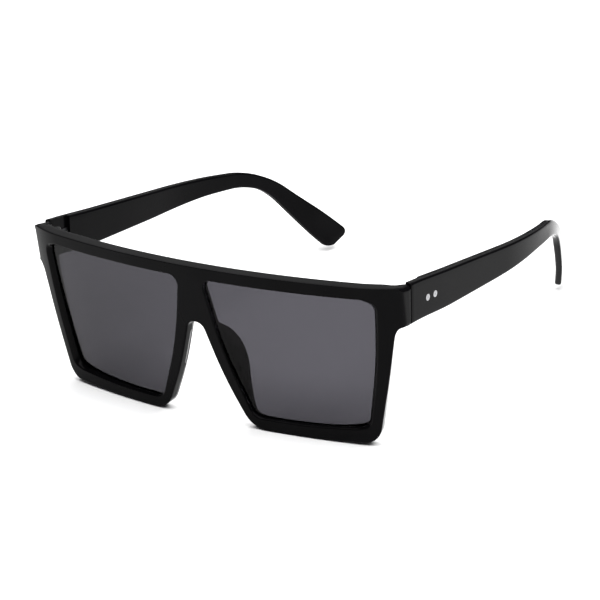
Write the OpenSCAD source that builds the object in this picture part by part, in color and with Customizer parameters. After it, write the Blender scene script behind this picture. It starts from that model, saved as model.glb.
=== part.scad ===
// Oversized flat-top square sunglasses.
// One moulded front holds two tinted lenses, and two temples fold on sunk five-barrel hinges.
// Left and right are the wearer's, so the left side is at +X. The front faces -Y.

/* [Front] */
// Width of the front over the end pieces
front_w = 143; // [136:0.5:152]
// Height of the front along its face
front_h = 54; // [50:0.5:60]
// Thickness of the front from face to back
front_t = 4.2; // [3.8:0.1:5]
// Radius of the front's wrap round the face
wrap_r = 293; // [220:1:500]
// Radius of the swept-back end pieces
sweep_r = 44; // [35:1:90]
// Width of the swept-back ends, measured in from the end pieces
sweep_w = 13.5; // [9:0.5:17]
// Angle by which the face leans forward at the top
face_tilt = 3.5; // [1:0.5:6]
// Height of the end pieces at the corners
end_h = 12.6; // [12:0.2:14.5]
// Rounding of the end pieces' corners
end_round = 2; // [0.8:0.2:2.4]

/* [Lens openings] */
// Width of the bar between the lens openings at the top
bridge_w = 8.6; // [8:0.1:12]
// Width of the front outside each lens opening, at the top
end_w = 8.8; // [8:0.1:14]
// How far the nose side of an opening slants outward
inner_slant = 14.6; // [12:0.2:18]
// How far the outer side of an opening slants inward
outer_slant = 5.8; // [4:0.2:9]
// Outward bow of the opening's nose side
inner_bow = 2.2; // [0.5:0.1:2.6]
// Outward bow of the opening's outer side
outer_bow = 1.3; // [0.3:0.1:2]
// Rise of the opening's lower outer corner
corner_rise = 1.2; // [0.4:0.1:2.4]
// Rounding of the openings' corners
opening_round = 3.2; // [2:0.2:5]

/* [Rims and nose] */
// Height of the bar over the lenses
top_rim = 3.7; // [3.5:0.1:6]
// Height of the rims under the lenses
low_rim = 5.1; // [4:0.1:7]
// Width of the rims' outer sides
side_rim = 6.1; // [4.6:0.1:6.6]
// Width of the rims along the nose
nose_rim = 4.6; // [4:0.1:5.6]
// Distance from the flat top down to the nose arch
arch_drop = 18.9; // [16:0.1:22]
// Width of the nose arch at its top
arch_w = 5.2; // [4:0.2:8]
// Rounding of the rims' lower corners
rim_round = 6; // [3:0.5:7]
// Drop of the nose pads' tops below the nose arch
pad_drop = 1.7; // [1:0.1:6]
// Length of the nose pads down the rims
pad_l = 25.8; // [18:0.1:27]
// Reach of the nose pads behind the front
pad_reach = 4.8; // [3:0.1:6]
// Sideways flare of the nose pads
pad_flare = 6; // [4:0.2:6.6]
// Rounding of the nose pads' edges
pad_round = 1.2; // [0.8:0.1:1.6]

/* [Lenses] */
// Thickness of a lens
lens_t = 2; // [1.6:0.1:2.2]
// Depth of the lens face behind the front's face
lens_recess = 1.5; // [0.8:0.1:1.6]
// Depth of the groove that holds a lens
groove_d = 0.9; // [0.6:0.1:1.2]
// Clearance round a lens in its groove
lens_fit = 0.05; // [0.03:0.01:0.1]

/* [Temples] */
// Distance from the front's face to the seam between end piece and temple
seam_y = 16.1; // [14.5:0.1:18]
// Gap between end piece and temple at the seam
seam_gap = 0.15; // [0.1:0.05:0.3]
// Drop of the seam's middle below the front's flat top
seam_drop = 7; // [6:0.1:8]
// Thickness of a temple at the hinge
temple_t = 3.5; // [3.4:0.1:4.2]
// Thickness of a temple at its tip
tip_t = 2.7; // [2.2:0.1:3.4]
// Height of a temple at the hinge
temple_h = 13; // [12.5:0.1:13.6]
// Height of a temple at the ear, its narrowest place
ear_h = 4.6; // [4.2:0.1:7]
// Height of a temple at its tip
tip_h = 10; // [8:0.1:12]
// Straight length from the hinge to the ear bend
arm_l = 93.4; // [88:0.1:102]
// Radius of the ear bend
ear_r = 31; // [26:1:45]
// Angle of the ear bend
ear_angle = 44.5; // [35:0.1:50]
// Straight length past the ear bend
tip_l = 31.2; // [24:0.1:34]
// Length of the arm before it bows inward
bow_start = 57.5; // [44:1:70]
// Length over which the arm turns inward
bow_l = 80; // [50:1:90]
// Angle by which the arm runs inward before the bow
arm_toe = 0.6; // [0:0.1:1.5]
// Inward lean at the tip
tip_lean = 29.5; // [20:0.5:32]
// Rounding of a temple's long edges
temple_round = 1.1; // [0.6:0.1:1.5]
// Rounding of a temple's tip
tip_round = 3; // [2:0.2:4]

/* [Hinges] */
// Radius of the hinge barrels
barrel_r = 1.6; // [1.4:0.05:1.8]
// Height of one hinge barrel
barrel_h = 1.5; // [1.3:0.1:1.7]
// Gap between neighbouring barrels
barrel_gap = 0.08; // [0.05:0.01:0.12]
// Gap between the barrels and the temple's inner face
hinge_gap = 0.25; // [0.2:0.05:0.5]
// Thickness of the hinge leaves
leaf_t = 1.3; // [1.1:0.1:1.4]
// Length of the tongue in the temple
tongue_l = 16.5; // [16:0.5:22]
// Depth of the hinge foot in the front
foot_d = 2.4; // [1.8:0.1:2.6]
// Radius of the hinge screw's shank
screw_r = 0.7; // [0.6:0.05:0.8]
// Radial clearance of the screw in the barrels
screw_fit = 0.05; // [0.03:0.01:0.08]
// Radius of the screw's head
screw_head_r = 1.3; // [1.1:0.05:1.4]
// Height of the screw's head
screw_head_h = 0.7; // [0.5:0.1:1]
// Radius of the rivets' heads
rivet_head_r = 1.05; // [0.9:0.05:1.3]
// Radius of the rivets' shanks
rivet_r = 0.6; // [0.5:0.05:0.75]
// Distance from the seam to the first rivet
rivet_start = 9.4; // [8.5:0.1:11]
// Distance between the two rivets
rivet_step = 4.3; // [3.4:0.1:5]
// Drop of the rivets and hinge below the temple's middle line
hinge_drop = 0.25; // [0:0.05:1.5]
// Clearance of the leaves and rivets in their seats
seat_fit = 0.04; // [0.03:0.01:0.08]

/* [Hidden] */
fine = 720;                 // facets of the wide wrap circles
small = 32;                 // facets of small round features
cut = 1;                    // how far a cutting shape runs past a face
wide = 400;                 // reach of shapes that are cut to size
deep = 24;                  // reach of cuts through the depth of the front
arc_step = 7;               // turn of one segment of a rounded corner, in degrees
wrap_steps = 24;            // facets of the main wrap from the middle to where it sweeps back
sweep_steps = 60;           // facets of a swept-back end
soft = 900;                 // rounding that makes a bowed side one smooth sweep
barrels = 5;
stack_h = barrels * barrel_h + (barrels - 1) * barrel_gap;
stations = 15;              // rings along each stretch of a temple
tip_rings = 6;              // rings that round the temple's tip
rest_cut = 0.25;            // height at which the rims' lowest edges are flattened
layers = 12;                // steps of the cut through the depth of the front
sweep_turn = 45;            // largest turn of the swept-back ends
low_bow = 0.15;             // downward bow of the openings' lower sides
foot_rise = 0.8;            // rise of the rims' lower outer corners
notch_in = 0.2;             // the corner between a rim and its end piece: set in,
notch_drop = 1;             // set down
notch_round = 3;            // and rounded
taper_k = 1.12;             // 1 for an arm that narrows evenly, more for one that narrows late
tip_blunt = 0.3;            // share of the thickness taken off each face at the tip's end
tongue_depth = 0.55;        // share of the temple's thickness outside the tongue's middle
rivet_past = 0.45;          // length of a rivet past the tongue

// Outline of a lens opening, on the wearer's left: [across, up, rounding]
opening_w = (front_w - bridge_w) / 2 - end_w;
top_v = front_h - top_rim;
low_v = low_rim;
in_x = bridge_w / 2;
out_x = in_x + opening_w;
opening = [
    [in_x, top_v, opening_round],
    [in_x + inner_slant / 2 - inner_bow, (top_v + low_v) / 2, soft],
    [in_x + inner_slant, low_v, opening_round * 0.8],
    [out_x - opening_w * 0.45, low_v - low_bow, soft],
    [out_x - outer_slant, low_v + corner_rise, opening_round],
    [out_x - outer_slant / 2 + outer_bow, (top_v + low_v + corner_rise) / 2, soft],
    [out_x, top_v, opening_round]
];

// Outline of the front's left half, from the middle of the top round to the nose arch
rim_out = out_x + side_rim;
end_v = front_h - end_h;
arch_v = front_h - arch_drop;
foot_in = in_x + inner_slant - nose_rim * 0.4;
foot_out = out_x - outer_slant + side_rim * 0.62;
half_outline = [
    [arch_w / 2, arch_v, arch_w * 0.62],
    [(arch_w / 2 + foot_in) / 2 - inner_bow * 0.68, arch_v / 2, soft],
    [foot_in, 0, rim_round],
    [(foot_in + foot_out) / 2, 0, soft],
    [foot_out, foot_rise, rim_round],
    [(foot_out + rim_out) / 2 + outer_bow, end_v * 0.58, soft],
    [rim_out - notch_in, end_v - notch_drop, notch_round],
    [front_w / 2, end_v, end_round],
    [front_w / 2, front_h, end_round]
];
front_outline = concat(half_outline, mirrored(half_outline));

function mirrored(path) = [for (i = [len(path) - 1:-1:0]) [-path[i].x, path[i].y, path[i].z]];
function flat(p) = [p.x, p.y];
function unit(v) = v / norm(v);
function side(v) = [v.y, -v.x];
function turned(v, a) = [v.x * cos(a) - v.y * sin(a), v.x * sin(a) + v.y * cos(a)];
function before(path, i) = flat(path[(i + len(path) - 1) % len(path)]);
function after(path, i) = flat(path[(i + 1) % len(path)]);

// Arc that rounds corner b between neighbours a and c, limited by the sides next to it
function arc(a, b, c, r) = let (
        u = unit(a - b),
        v = unit(c - b),
        half = acos(u * v) / 2,
        reach = min(r / tan(half), 0.48 * min(norm(a - b), norm(c - b))),
        fit_r = reach * tan(half),
        centre = b + unit(u + v) * fit_r / sin(half),
        turn = sign(u.x * v.y - u.y * v.x) * (2 * half - 180),
        n = max(2, ceil(abs(turn) / arc_step)))
    [for (i = [0:n]) centre + turned(b + u * reach - centre, turn * i / n)];
function rounded(path) = [for (i = [0:len(path) - 1])
    each arc(before(path, i), flat(path[i]), after(path, i), path[i].z)];

// The same counter-clockwise outline moved outward by d, or inward when d is negative
function grown(path, d) = [for (i = [0:len(path) - 1]) let (
        n1 = side(unit(flat(path[i]) - before(path, i))),
        n2 = side(unit(after(path, i) - flat(path[i]))),
        p = flat(path[i]) + (n1 + n2) / (1 + n1 * n2) * d)
    [p.x, p.y, path[i].z + d]];

// Depth of the front's face behind its middle, at a distance x from the middle
sweep_x = front_w / 2 - sweep_w;
sweep_a = asin(sweep_x / wrap_r);
sweep_c = [(wrap_r - sweep_r) * sin(sweep_a), wrap_r - (wrap_r - sweep_r) * cos(sweep_a)];
function face_depth(x) = x < sweep_x ? wrap_r - sqrt(wrap_r ^ 2 - x ^ 2)
    : sweep_c.y - sqrt(sweep_r ^ 2 - (x - sweep_c.x) ^ 2);
function face_turn(x) = x < sweep_x ? asin(x / wrap_r) : asin((x - sweep_c.x) / sweep_r);
lean_y = front_h * sin(face_tilt);
function face_y(x, z) = face_depth(x) * cos(face_tilt) + lean_y - z * sin(face_tilt);

// A temple's middle line in its own side plane: [along, up, slope], the butt at the origin
bend_l = ear_r * ear_angle * PI / 180;
temple_l = arm_l + bend_l + tip_l;
function bend_end() = [arm_l + ear_r * sin(ear_angle), -ear_r * (1 - cos(ear_angle))];
function line_at(s) = s < arm_l ? [s, 0, 0]
    : s < arm_l + bend_l ? let (a = ear_angle * (s - arm_l) / bend_l)
        [arm_l + ear_r * sin(a), -ear_r * (1 - cos(a)), a]
    : [bend_end().x + (s - arm_l - bend_l) * cos(ear_angle),
        bend_end().y - (s - arm_l - bend_l) * sin(ear_angle), ear_angle];
ear_s = arm_l + bend_l / 2;
function ease(t) = (1 - cos(180 * t)) / 2;
function full_half(s) = s < ear_s ? (ear_h + (temple_h - ear_h) * (1 - pow(s / ear_s, taper_k))) / 2
    : (ear_h + (tip_h - ear_h) * ease((s - ear_s) / (temple_l - ear_s))) / 2;
tip_s = temple_l - tip_round;
function tip_cut(s, r) = s < tip_s ? 0 : r - sqrt(max(0, r ^ 2 - ((s - tip_s) * r / tip_round) ^ 2));
function half_h(s) = full_half(s) - tip_cut(s, tip_round);
function full_t(s) = temple_t - (temple_t - tip_t) * max(0, s - tongue_l) / (temple_l - tongue_l);
function half_t(s) = full_t(s) / 2 - tip_cut(s, tip_t * tip_blunt);
// Inward shift of the temple's outer face at a distance along it
function bow(y) = let (past = max(0, y - bow_start), t = min(past, bow_l))
    y * tan(arm_toe) + (tan(tip_lean) - tan(arm_toe)) * (t ^ 2 / 2 / bow_l + past - t);

seam_z = front_h - seam_drop;

// Slope at which the temple's lowest point just meets the surface that the rims rest on
low_points = [for (s = [arm_l:0.25:temple_l]) let (p = line_at(s))
    [p.x - half_h(s) * sin(p.z), p.y - half_h(s) * cos(p.z)]];
slope = min([for (p = low_points) asin((seam_z - rest_cut) / norm(p)) - atan2(-p.y, p.x)]);
back_y = max([for (s = [arm_l:0.25:temple_l]) let (p = line_at(s))
    seam_y + (p.x + half_h(s) * sin(p.z)) * cos(slope) + (p.y + half_h(s) * cos(p.z)) * sin(slope)]);
middle_y = back_y / 2;

outer_x = front_w / 2;
hinge_x = outer_x - temple_t - hinge_gap - barrel_r;
hinge_z = seam_z - hinge_drop;
tongue_x = outer_x - temple_t * tongue_depth;
tongue_h = 3 * barrel_h + 2 * barrel_gap;
stack_z = hinge_z - stack_h / 2;
foot_y = face_y(hinge_x, hinge_z) + front_t - foot_d;
pocket_gap = 0.7;           // clearance of the hollow round the barrels
neck_y = 0.4;               // distance from the seam to the necks of the temple hinge
slot_w = 0.35;              // width and depth of the screw's driver slot
rivet_l = temple_t * tongue_depth + leaf_t / 2 + rivet_past;
rivet_seat = 0.4;           // depth of a rivet's head in the temple
rivet_rise = 0.12;          // height of a rivet's dome over the temple
dome_r = 5;                 // radius of a rivet's domed head

// Ring of a temple at distance s, a rounded rectangle square to the middle line
function ring(s) = let (
        p = line_at(s),
        h = half_h(s),
        t = half_t(s),
        r = min(temple_round, t * 0.8, h * 0.8),
        corner = [[1, 1], [-1, 1], [-1, -1], [1, -1]])
    [for (q = [0:3], i = [0:3]) let (
            a = q * 90 + i * 30,
            dx = corner[q].x * (t - r) + r * cos(a),
            dz = corner[q].y * (h - r) + r * sin(a),
            y = p.x + dz * sin(p.z))
        [dx - full_t(s) / 2 - bow(p.x), y, p.y + dz * cos(p.z)]];
temple_s = concat(
    [for (i = [0:stations]) arm_l * i / stations],
    [for (i = [1:stations]) arm_l + bend_l * i / stations],
    [for (i = [1:stations]) arm_l + bend_l + (tip_l - tip_round) * i / stations],
    [for (i = [1:tip_rings]) tip_s + tip_round * sin(90 * i / tip_rings)]);

// Solid through a list of rings that all have the same number of points
module skin(rings) {
    n = len(rings[0]);
    m = len(rings);
    polyhedron(
        points = [for (r = rings) each r],
        faces = concat(
            [[for (i = [n - 1:-1:0]) i]],
            [for (k = [0:m - 2], i = [0:n - 1]) let (j = (i + 1) % n)
                each [[k * n + i, (k + 1) * n + j, (k + 1) * n + i],
                    [k * n + i, k * n + j, (k + 1) * n + j]]],
            [[for (i = [0:n - 1]) (m - 1) * n + i]]));
}

// Plan of one depth behind the front's face, from the middle out to the swept-back end
function plan_half(d) = concat(
    [for (i = [0:wrap_steps]) let (a = sweep_a * i / wrap_steps)
        [0, wrap_r] + (wrap_r - d) * [sin(a), -cos(a)]],
    [for (i = [1:sweep_steps]) let (a = sweep_a + sweep_turn * i / sweep_steps)
        sweep_c + (sweep_r - d) * [sin(a), -cos(a)]]);

// Plan of the layer between two depths behind the front's face
module wrap_plan(d0, d1) {
    a = plan_half(d0);
    b = plan_half(d1);
    n = len(a) - 1;
    polygon(concat([for (i = [n:-1:1]) [-a[i].x, a[i].y]], a,
        [for (i = [n:-1:0]) b[i]], [for (i = [1:n]) [-b[i].x, b[i].y]]));
}

// Plan of a lens layer, which keeps the main wrap all the way
module lens_plan(d0, d1) {
    intersection() {
        translate([0, wrap_r]) difference() {
            circle(r = wrap_r - d0, $fn = fine);
            circle(r = wrap_r - d1, $fn = fine);
        }
        translate([0, -cut]) square([outer_x, wrap_r / 2]);
    }
}

// Outline drawn on the face and run through the whole depth of the front
module through(path) {
    translate([0, deep, 0]) rotate([90, 0, 0]) linear_extrude(2 * deep) polygon(rounded(path));
}

// The front's outline at a depth y, where the rims' sides stand square to the curved face
function at_depth(y) = [for (p = rounded(front_outline)) let (
        x = abs(p.x),
        lean = x < front_w / 2 - end_round && p.y <= end_v ? tan(face_turn(x)) : 0)
    [p.x - sign(p.x) * lean * max(0, y - face_depth(x)), y, p.y]];

// The finished place of every sub-part: the origin at the middle of the footprint
module placed() {
    translate([0, -middle_y, -rest_cut]) children();
}

module on_face() {
    translate([0, lean_y, 0]) rotate([face_tilt, 0, 0]) children();
}

module both_sides() {
    children();
    mirror([1, 0, 0]) children();
}

// Side plane of the wearer's left temple, its butt at the seam
module on_seam() {
    translate([outer_x, seam_y, seam_z]) rotate([-slope, 0, 0]) children();
}

// Return of the end piece, from the front back to the seam
module end_return() {
    y0 = face_y(outer_x, hinge_z) + front_t / 2;
    difference() {
        translate([outer_x - temple_t, y0, end_v]) cube([temple_t, seam_y + cut - y0, front_h - end_v]);
        behind_seam();
    }
}

// Space of the temple and its gap at the seam
module behind_seam() {
    on_seam() translate([-temple_t - hinge_gap, -seam_gap, -wide / 2]) cube([wide, wide, wide]);
}

// Edge of the rim beside the nose at a height v
function nose_x(v) = lookup(v, [for (i = [0:2]) [half_outline[i].y, half_outline[i].x]]);

// Nose pad, moulded in one with the rim and flared away from the nose
// Points of its ridge: shares of the pad's length, flare and reach
pad_ridge = [[0.14, 0.78, 0.85], [0.38, 1, 1], [0.6, 0.92, 0.92], [0.9, 0.5, 0.48]];
module nose_pad() {
    hull() {
        for (k = [0:3])
            pad_ball(k / 3, pad_round * 2.35, front_t * 0.6 + pad_round);
        for (p = pad_ridge)
            pad_ball(p[0], pad_flare * p[1], front_t + pad_reach * p[2]);
    }
}

// Ball that reaches out from the nose and back from the face at a share of the pad's length
module pad_ball(k, out, back) {
    v = arch_v - pad_drop - k * pad_l;
    translate([nose_x(v) + out - pad_round, back - pad_round, v]) sphere(pad_round, $fn = small);
}

module front_frame() {
    color("#161616") placed() difference() {
        union() {
            on_face() difference() {
                intersection() {
                    linear_extrude(front_h) wrap_plan(0, front_t);
                    skin([for (y = [-cut:deep / layers:deep]) at_depth(y)]);
                }
                both_sides() through(opening);
            }
            both_sides() end_return();
            on_face() both_sides() difference() {
                nose_pad();
                intersection() {
                    linear_extrude(front_h) wrap_plan(-cut, front_t - groove_d);
                    through(opening);
                }
            }
        }
        on_face() both_sides() intersection() {
            linear_extrude(front_h) lens_plan(lens_recess - lens_fit, lens_recess + lens_t + lens_fit);
            through(grown(opening, groove_d));
        }
        both_sides() {
            hinge_foot(seat_fit);
            hinge_pocket();
            behind_seam();
        }
        for (z = [rest_cut - wide, front_h * cos(face_tilt)])
            translate([-wide / 2, -wide / 2, z]) cube([wide, wide, wide]);
    }
}

module lens_shape() {
    intersection() {
        linear_extrude(front_h) lens_plan(lens_recess, lens_recess + lens_t);
        through(grown(opening, groove_d - lens_fit));
    }
}

module right_lens() {
    color("#4d4d52") placed() on_face() mirror([1, 0, 0]) lens_shape();
}

module left_lens() {
    color("#4d4d52") placed() on_face() lens_shape();
}

// Foot of the front hinge, sunk in the back of the front; grow makes the seat for it
module hinge_foot(grow) {
    translate([hinge_x - leaf_t / 2 - grow, foot_y - grow, stack_z - grow])
        cube([leaf_t + 2 * grow, seam_y - barrel_r - 2 * hinge_gap - foot_y, stack_h + 2 * grow]);
}

// Hollow in the back of the front that clears the barrels and the screw's head
module hinge_pocket() {
    translate([hinge_x, seam_y, stack_z - hinge_gap])
        cylinder(h = stack_h + screw_head_h + 2 * hinge_gap, r = barrel_r + pocket_gap, $fn = small * 2);
}

module barrel(i) {
    translate([hinge_x, seam_y, stack_z + i * (barrel_h + barrel_gap)])
        cylinder(h = barrel_h, r = barrel_r, $fn = small * 2);
}

module screw_bore() {
    translate([hinge_x, seam_y, stack_z - cut])
        cylinder(h = stack_h + 2 * cut, r = screw_r + screw_fit, $fn = small * 2);
}

// Three outer barrels, joined to the foot by webs
module front_hinge() {
    difference() {
        union() {
            hinge_foot(0);
            for (i = [0:2:barrels - 1]) {
                barrel(i);
                translate([hinge_x - leaf_t / 2, foot_y, stack_z + i * (barrel_h + barrel_gap)])
                    cube([leaf_t, seam_y - foot_y, barrel_h]);
            }
        }
        screw_bore();
    }
}

module right_front_hinge() {
    color("#8d8f92") placed() mirror([1, 0, 0]) front_hinge();
}

module left_front_hinge() {
    color("#8d8f92") placed() front_hinge();
}

// Tongue that lies inside the temple; grow makes the slot for it
module tongue(grow) {
    x = tongue_x - outer_x - leaf_t / 2;
    z = -hinge_drop - tongue_h / 2;
    on_seam() translate([x - grow, neck_y - grow, z - grow])
        cube([leaf_t + 2 * grow, tongue_l - neck_y + 2 * grow, tongue_h + 2 * grow]);
}

// Neck that joins one barrel of the temple hinge to its tongue; grow makes the notch for it
module neck(i, grow) {
    translate([hinge_x, seam_y + neck_y - grow, stack_z + i * (barrel_h + barrel_gap) - grow])
        cube([tongue_x - hinge_x, leaf_t + 2 * grow, barrel_h + 2 * grow]);
}

// Two inner barrels, joined to the tongue by necks
module temple_hinge() {
    difference() {
        union() {
            tongue(0);
            for (i = [1:2:barrels - 1]) {
                barrel(i);
                neck(i, 0);
            }
        }
        screw_bore();
        rivet_bores(rivet_r + seat_fit);
    }
}

module right_temple_hinge() {
    color("#8d8f92") placed() mirror([1, 0, 0]) temple_hinge();
}

module left_temple_hinge() {
    color("#8d8f92") placed() temple_hinge();
}

// Screw that pins the five barrels, its slotted head at the top
module hinge_screw() {
    translate([hinge_x, seam_y, 0]) difference() {
        union() {
            translate([0, 0, stack_z])
                cylinder(h = stack_h + barrel_gap, r = screw_r, $fn = small * 2);
            translate([0, 0, stack_z + stack_h])
                cylinder(h = screw_head_h, r = screw_head_r, $fn = small * 2);
        }
        translate([-screw_head_r - cut, -slot_w / 2, stack_z + stack_h + screw_head_h - slot_w])
            cube([2 * (screw_head_r + cut), slot_w, cut]);
    }
}

module right_hinge_screw() {
    color("#a5a7aa") placed() mirror([1, 0, 0]) hinge_screw();
}

module left_hinge_screw() {
    color("#a5a7aa") placed() hinge_screw();
}

// Place of a rivet on the outer face of the temple, its axis turned outward along X
module at_rivet(k) {
    y = rivet_start + k * rivet_step;
    on_seam() translate([-bow(y), y, -hinge_drop]) rotate([0, 90, 0]) children();
}

module rivet_bores(r) {
    for (k = [0, 1])
        at_rivet(k) translate([0, 0, -rivet_l]) cylinder(h = rivet_l + cut, r = r, $fn = small);
}

module rivet(k) {
    at_rivet(k) {
        translate([0, 0, -rivet_l + seat_fit])
            cylinder(h = rivet_l - seat_fit, r = rivet_r, $fn = small);
        intersection() {
            translate([0, 0, -rivet_seat])
                cylinder(h = rivet_seat + rivet_rise, r = rivet_head_r, $fn = small);
            translate([0, 0, rivet_rise - dome_r]) sphere(dome_r, $fn = small * 4);
        }
    }
}

module right_front_rivet() {
    color("#c4c6c8") placed() mirror([1, 0, 0]) rivet(0);
}

module right_rear_rivet() {
    color("#c4c6c8") placed() mirror([1, 0, 0]) rivet(1);
}

module left_front_rivet() {
    color("#c4c6c8") placed() rivet(0);
}

module left_rear_rivet() {
    color("#c4c6c8") placed() rivet(1);
}

// Moulded temple with the slot, notches and rivet holes for its hinge
module temple() {
    difference() {
        on_seam() skin([for (s = temple_s) ring(s)]);
        tongue(seat_fit);
        for (i = [1:2:barrels - 1]) neck(i, seat_fit);
        rivet_bores(rivet_r + seat_fit);
        for (k = [0, 1]) at_rivet(k) translate([0, 0, -rivet_seat - seat_fit])
            cylinder(h = rivet_seat + cut, r = rivet_head_r + seat_fit, $fn = small);
    }
}

module right_temple() {
    color("#161616") placed() mirror([1, 0, 0]) temple();
}

module left_temple() {
    color("#161616") placed() temple();
}

front_frame();
right_lens();
left_lens();
right_temple();
left_temple();
right_front_hinge();
left_front_hinge();
right_temple_hinge();
left_temple_hinge();
right_hinge_screw();
left_hinge_screw();
right_front_rivet();
right_rear_rivet();
left_front_rivet();
left_rear_rivet();
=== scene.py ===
import math
import bmesh
import bpy
import numpy as np
from mathutils import Matrix, Vector


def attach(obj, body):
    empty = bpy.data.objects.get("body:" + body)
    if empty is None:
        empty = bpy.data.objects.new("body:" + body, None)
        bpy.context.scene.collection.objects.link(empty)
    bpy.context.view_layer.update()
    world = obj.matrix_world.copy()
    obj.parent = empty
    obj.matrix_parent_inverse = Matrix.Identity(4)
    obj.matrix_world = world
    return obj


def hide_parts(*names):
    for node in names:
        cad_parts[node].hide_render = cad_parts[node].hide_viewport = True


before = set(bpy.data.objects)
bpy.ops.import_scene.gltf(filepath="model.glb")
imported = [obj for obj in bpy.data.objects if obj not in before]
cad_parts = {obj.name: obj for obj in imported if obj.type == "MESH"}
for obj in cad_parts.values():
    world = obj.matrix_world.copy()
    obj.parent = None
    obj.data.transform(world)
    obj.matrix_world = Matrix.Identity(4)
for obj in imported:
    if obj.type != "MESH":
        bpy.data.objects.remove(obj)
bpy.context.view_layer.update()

# The moulded front
# One piece of black injection-moulded plastic: a flat-topped bar, two square rims, end pieces swept back
# to the seams, and nose pads grown out of the back of the rims. It leaves the mould with softly broken edges.
MM = 0.001  # sizes are in millimetres, the scene is in metres
front_w, front_h, front_t = 143.0, 54.0, 4.2
wrap_r, sweep_r, sweep_x = 293.0, 44.0, 58.0  # the wrap, and the tighter sweep from sweep_x outward
tilt = math.radians(3.5)
middle_y, rest_cut = 76.0967, 0.25  # foremost point to the footprint's middle; ground off the feet
straight_r = 900.0  # a round so large that it takes up both edges: a side that only bows

# Opening for a lens: the bridge beside it, its size, the slant and bow of its sides, and its four rounds
bridge_w, opening_w, opening_h, top_rim = 8.6, 59.3, 45.55, 3.95
inner_slant, outer_slant, inner_bow, outer_bow = 13.4, 5.8, 2.4, 1.3
corner_rise, sill_sag, sill_share, nose_shift, end_shift = 1.2, 0.15, 0.45, 0.2, 0.3
nose_top_r, nose_low_r, end_low_r, end_top_r = 3.2, 5.2, 4.4, 4.2
in_x = bridge_w / 2
out_x = in_x + opening_w
top_v = front_h - top_rim
low_v = top_v - opening_h
opening_path = [
    (in_x, top_v, nose_top_r),
    (in_x + inner_slant / 2 - inner_bow + nose_shift, (top_v + low_v) / 2, straight_r),
    (in_x + inner_slant + nose_shift, low_v, nose_low_r),
    (out_x - opening_w * sill_share, low_v - sill_sag, straight_r),
    (out_x - outer_slant - end_shift, low_v + corner_rise, end_low_r),
    (out_x - outer_slant / 2 + outer_bow, (top_v + low_v + corner_rise) / 2, straight_r),
    (out_x, top_v, end_top_r),
]

# Outline of one half: the nose arch, both feet of the rim, the notch under the seam, and the end piece
side_rim, nose_rim, foot_in_share, foot_out_share = 5.2, 4.6, 0.14, 0.555
arch_v, arch_w, arch_round, nose_bulge = 34.75, 5.2, 0.62, 1.5
nose_foot_r, end_foot_r, foot_rise = 9.5, 6.6, 0.8
notch_in, notch_low, notch_low_r = 0.15, 3.2, 8.0
notch_out, notch_high, notch_high_r = 0.9, 0.75, 4.0
end_v, end_r, side_share = 41.4, 2.0, 0.58
rim_x = out_x + side_rim
foot_in = in_x + inner_slant - nose_rim * foot_in_share
foot_out = out_x - outer_slant + side_rim * foot_out_share
half_path = [
    (arch_w / 2, arch_v, arch_w * arch_round),
    ((arch_w / 2 + foot_in) / 2 - nose_bulge, arch_v / 2, straight_r),
    (foot_in, 0.0, nose_foot_r),
    ((foot_in + foot_out) / 2, 0.0, straight_r),
    (foot_out, foot_rise, end_foot_r),
    ((foot_out + rim_x) / 2 + outer_bow, end_v * side_share, straight_r),
    (rim_x - notch_in, end_v - notch_low, notch_low_r),
    (rim_x + notch_out, end_v - notch_high, notch_high_r),
    (front_w / 2, end_v, end_r),
    (front_w / 2, front_h, end_r),
]

most_of_edge, arc_step = 0.48, 0.04  # share of an edge that a round may take, and the step of its arc
nose_way, end_way, split_x = -1, 1, 34  # the two sides of an opening, on either side of split_x


def corner(a, b, c, r):
    """Fine arc that rounds corner b between its neighbours a and c."""
    a, b, c = (np.array(p[:2]) for p in (a, b, c))
    u, v = (a - b) / np.linalg.norm(a - b), (c - b) / np.linalg.norm(c - b)
    half = math.acos(float(u @ v)) / 2
    reach = min(r / math.tan(half), most_of_edge * min(np.linalg.norm(a - b), np.linalg.norm(c - b)))
    fit = reach * math.tan(half)
    centre = b + (u + v) / np.linalg.norm(u + v) * fit / math.sin(half)
    turn = math.copysign(1, u[0] * v[1] - u[1] * v[0]) * (2 * half - math.pi)
    w = b + u * reach - centre
    n = max(8, math.ceil(abs(turn) / arc_step))
    return [centre + np.array([w[0] * math.cos(k) - w[1] * math.sin(k),
                               w[0] * math.sin(k) + w[1] * math.cos(k)])
            for k in (turn * i / n for i in range(n + 1))]


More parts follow.
